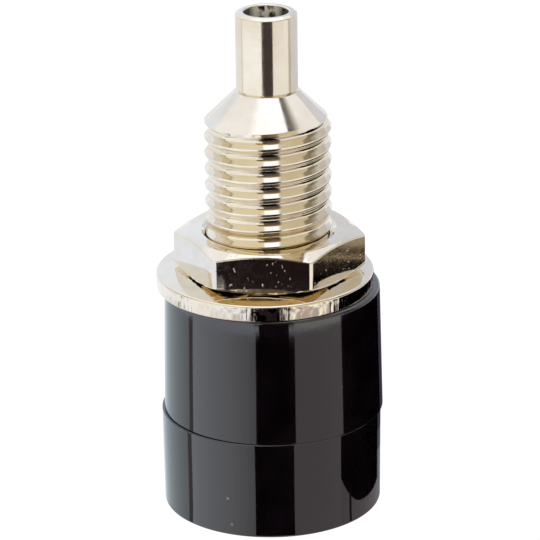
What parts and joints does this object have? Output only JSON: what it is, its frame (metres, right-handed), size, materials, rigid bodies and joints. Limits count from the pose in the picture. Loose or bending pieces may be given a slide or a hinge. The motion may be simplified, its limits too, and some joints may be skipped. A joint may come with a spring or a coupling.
{
  "type": "banana socket",
  "caption": "Insulated panel socket for a 4 mm banana plug: a turned contact sleeve with solder cup, clamped to a panel between two black collars by a washer and hexagon nut.",
  "frame": {"origin": "middle of the front face, where the plug goes in", "axes": "+Z along the socket's axis, from the plug side to the solder side"},
  "size_m": [0.0108, 0.0106, 0.0245],
  "materials": {
    "black_moulding": "polished black thermoset moulding",
    "nickel_plate": "brass with a bright nickel plate, slightly warm"
  },
  "bodies": {
    "socket": {"front_insulator": "black_moulding", "contact_sleeve": "nickel_plate"},
    "clamp": {"rear_insulator": "black_moulding", "washer": "nickel_plate"},
    "nut": {"nut": "nickel_plate"}
  },
  "joints": [
    {"name": "clamp_slide", "type": "slide", "parent": "socket", "child": "clamp", "axis": [0, 0, 1], "range_m": [0, 0.0036]},
    {"name": "nut_turn", "type": "hinge", "parent": "clamp", "child": "nut", "pos_m": [0, 0, 0.01282], "axis": [0, 0, 1], "range_deg": [0, 1621]}
  ],
  "couplings": [
    {"joint": "nut_turn", "follows": "clamp_slide", "rad_per_m": 7854}
  ]
}
